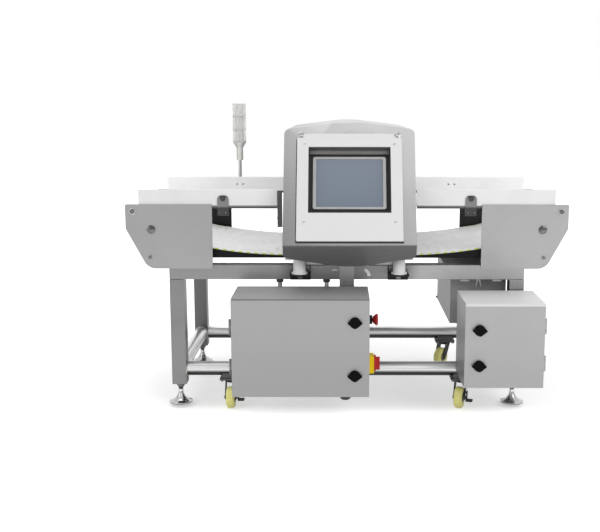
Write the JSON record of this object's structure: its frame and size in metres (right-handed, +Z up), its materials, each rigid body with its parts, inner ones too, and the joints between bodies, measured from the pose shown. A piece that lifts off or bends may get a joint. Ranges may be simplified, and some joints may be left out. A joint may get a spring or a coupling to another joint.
{
  "type": "conveyor metal detector",
  "caption": "Conveyor metal detector: a tunnel head with a touch screen over a dipping white belt, on a square-tube stand with two hung cabinets, castors and levelling feet.",
  "frame": {"origin": "middle of the machine's footprint on the floor, at the castor wheels' lowest points", "axes": "+X along the belt, from the infeed at the left to the driven end at the right as the operator sees it; -Y is the operator's side, with the screen and the cabinet doors; +Z up"},
  "size_m": [1.5, 0.883, 1.05],
  "materials": {
    "frame_steel": "satin stainless steel tube",
    "brushed_sheet": "brushed stainless steel sheet",
    "bright_steel": "turned bright steel",
    "dark_steel": "black coated steel",
    "bracket_grey": "grey blue paint",
    "black_plastic": "matte black",
    "white_plastic": "matte white",
    "cover_white": "near white, finely brushed",
    "belt_white": "smooth white belt with yellow-green edge stitches",
    "belt_black": "matte black toothed belt",
    "coil_copper": "copper winding in resin",
    "bezel_silver": "satin silver",
    "screen_glass": "blue-grey screen, switched off",
    "switch_yellow": "yellow",
    "button_red": "red",
    "knob_red": "dark red",
    "castor_steel": "zinc plated",
    "castor_black": "black",
    "wheel_yellow": "yellow polyurethane tyre and hub",
    "foot_steel": "turned stainless steel",
    "tower_grey": "grey",
    "lens_clear": "unlit clear-grey lenses",
    "motor_blue": "blue-grey paint"
  },
  "bodies": {
    "frame": {"frame_legs": "frame_steel", "top_rails": "frame_steel", "lower_tubes": "frame_steel", "side_plates": "brushed_sheet", "tie_bars": "bright_steel", "fasteners": "bright_steel", "roller_bearings": "black_plastic", "conveyor_belt": "belt_white", "slider_bed": "dark_steel", "guide_rails": "white_plastic", "rail_brackets": "bracket_grey", "photo_sensor": "black_plastic", "head_shell": "brushed_sheet", "tunnel_liner": "white_plastic", "search_coils": "coil_copper", "head_cover": "cover_white", "screen_housing": "black_plastic", "screen_bezel": "bezel_silver", "screen_glass": "screen_glass", "head_isolators": "white_plastic", "head_brackets": "dark_steel", "cabinet_hangers": "frame_steel", "main_cabinet": "brushed_sheet", "mounting_plates": "cover_white", "motor_inverter": "black_plastic", "estop_collar": "black_plastic", "switch_body": "switch_yellow", "small_cabinet": "brushed_sheet", "castor_plates": "castor_steel", "tower_light_pole": "tower_grey", "tower_light_lenses": "lens_clear", "drive_box": "brushed_sheet", "gear_motor": "motor_blue", "drive_belt": "belt_black", "drive_guard": "brushed_sheet"},
    "main_door": {"main_door": "brushed_sheet"},
    "small_door": {"small_door": "brushed_sheet"},
    "main_lock_upper": {"main_lock_upper": "black_plastic"},
    "main_lock_lower": {"main_lock_lower": "black_plastic"},
    "small_lock_upper": {"small_lock_upper": "black_plastic"},
    "small_lock_lower": {"small_lock_lower": "black_plastic"},
    "estop_button": {"estop_button": "button_red"},
    "switch_knob": {"switch_knob": "knob_red"},
    "drive_roller": {"drive_roller": "bright_steel"},
    "tail_roller": {"tail_roller": "bright_steel"},
    "motor_pulley": {"motor_pulley": "bright_steel"},
    "fork_front_left": {"fork_front_left": "castor_black"},
    "fork_front_right": {"fork_front_right": "castor_black"},
    "fork_rear_left": {"fork_rear_left": "castor_black"},
    "fork_rear_right": {"fork_rear_right": "castor_black"},
    "wheel_front_left": {"wheel_front_left": "wheel_yellow"},
    "wheel_front_right": {"wheel_front_right": "wheel_yellow"},
    "wheel_rear_left": {"wheel_rear_left": "wheel_yellow"},
    "wheel_rear_right": {"wheel_rear_right": "wheel_yellow"},
    "pedal_front_left": {"pedal_front_left": "castor_black"},
    "pedal_front_right": {"pedal_front_right": "castor_black"},
    "foot_front_left": {"foot_front_left": "foot_steel"},
    "foot_front_right": {"foot_front_right": "foot_steel"},
    "foot_rear_left": {"foot_rear_left": "foot_steel"},
    "foot_rear_right": {"foot_rear_right": "foot_steel"}
  },
  "joints": [
    {"name": "main_door_hinge", "type": "hinge", "parent": "frame", "child": "main_door", "pos_m": [-0.3785, -0.40975, 0.271], "axis": [0, 0, -1], "range_deg": [0, 110]},
    {"name": "small_door_hinge", "type": "hinge", "parent": "frame", "child": "small_door", "pos_m": [0.64, -0.40975, 0.2795], "axis": [0, 0, 1], "range_deg": [0, 110]},
    {"name": "main_lock_upper_turn", "type": "hinge", "parent": "main_door", "child": "main_lock_upper", "pos_m": [0.0245, -0.4285, 0.356], "axis": [0, 1, 0], "range_deg": [0, 90]},
    {"name": "main_lock_lower_turn", "type": "hinge", "parent": "main_door", "child": "main_lock_lower", "pos_m": [0.0245, -0.4285, 0.18], "axis": [0, 1, 0], "range_deg": [0, 90]},
    {"name": "small_lock_upper_turn", "type": "hinge", "parent": "small_door", "child": "small_lock_upper", "pos_m": [0.425, -0.4285, 0.3315], "axis": [0, -1, 0], "range_deg": [0, 90]},
    {"name": "small_lock_lower_turn", "type": "hinge", "parent": "small_door", "child": "small_lock_lower", "pos_m": [0.425, -0.4285, 0.2135], "axis": [0, -1, 0], "range_deg": [0, 90]},
    {"name": "estop_press", "type": "slide", "parent": "frame", "child": "estop_button", "axis": [-1, 0, 0], "range_m": [0, 0.005], "stiffness_N_per_m": 1500},
    {"name": "switch_turn", "type": "hinge", "parent": "frame", "child": "switch_knob", "pos_m": [0.0715, -0.3085, 0.189], "axis": [1, 0, 0], "range_deg": [0, 90]},
    {"name": "drive_roller_spin", "type": "hinge", "parent": "frame", "child": "drive_roller", "pos_m": [0.664, 0.0845, 0.627], "axis": [0, 1, 0], "continuous": true},
    {"name": "tail_roller_spin", "type": "hinge", "parent": "frame", "child": "tail_roller", "pos_m": [-0.664, 0.0845, 0.627], "axis": [0, 1, 0], "continuous": true},
    {"name": "motor_pulley_spin", "type": "hinge", "parent": "frame", "child": "motor_pulley", "pos_m": [0.455, 0.4025, 0.37], "axis": [0, 1, 0], "continuous": true},
    {"name": "swivel_front_left", "type": "hinge", "parent": "frame", "child": "fork_front_left", "pos_m": [-0.403, -0.1785, 0.09], "axis": [0, 0, 1], "continuous": true},
    {"name": "roll_front_left", "type": "hinge", "parent": "fork_front_left", "child": "wheel_front_left", "pos_m": [-0.403, -0.2085, 0.0375], "axis": [1, 0, 0], "continuous": true},
    {"name": "swivel_front_right", "type": "hinge", "parent": "frame", "child": "fork_front_right", "pos_m": [0.403, -0.1785, 0.09], "axis": [0, 0, 1], "continuous": true},
    {"name": "roll_front_right", "type": "hinge", "parent": "fork_front_right", "child": "wheel_front_right", "pos_m": [0.39373, -0.20703, 0.0375], "axis": [0.9511, -0.309, 0], "continuous": true},
    {"name": "swivel_rear_left", "type": "hinge", "parent": "frame", "child": "fork_rear_left", "pos_m": [-0.403, 0.3475, 0.09], "axis": [0, 0, 1], "continuous": true},
    {"name": "roll_rear_left", "type": "hinge", "parent": "fork_rear_left", "child": "wheel_rear_left", "pos_m": [-0.418, 0.32152, 0.0375], "axis": [0.866, -0.5, 0], "continuous": true},
    {"name": "swivel_rear_right", "type": "hinge", "parent": "frame", "child": "fork_rear_right", "pos_m": [0.403, 0.3475, 0.09], "axis": [0, 0, 1], "continuous": true},
    {"name": "roll_rear_right", "type": "hinge", "parent": "fork_rear_right", "child": "wheel_rear_right", "pos_m": [0.38579, 0.32293, 0.0375], "axis": [0.8192, -0.5736, 0], "continuous": true},
    {"name": "brake_front_left", "type": "hinge", "parent": "fork_front_left", "child": "pedal_front_left", "pos_m": [-0.403, -0.1955, 0.054], "axis": [1, 0, 0], "range_deg": [0, 12]},
    {"name": "brake_front_right", "type": "hinge", "parent": "fork_front_right", "child": "pedal_front_right", "pos_m": [0.39775, -0.19467, 0.054], "axis": [0.9511, -0.309, 0], "range_deg": [0, 12]},
    {"name": "screw_front_left", "type": "slide", "parent": "frame", "child": "foot_front_left", "axis": [0, 0, -1], "range_m": [-0.003, 0.035]},
    {"name": "screw_front_right", "type": "slide", "parent": "frame", "child": "foot_front_right", "axis": [0, 0, -1], "range_m": [-0.003, 0.035]},
    {"name": "screw_rear_left", "type": "slide", "parent": "frame", "child": "foot_rear_left", "axis": [0, 0, -1], "range_m": [-0.003, 0.035]},
    {"name": "screw_rear_right", "type": "slide", "parent": "frame", "child": "foot_rear_right", "axis": [0, 0, -1], "range_m": [-0.003, 0.035]}
  ],
  "couplings": [
    {"joint": "tail_roller_spin", "follows": "drive_roller_spin", "ratio": 1},
    {"joint": "motor_pulley_spin", "follows": "drive_roller_spin", "ratio": 1.3077}
  ]
}
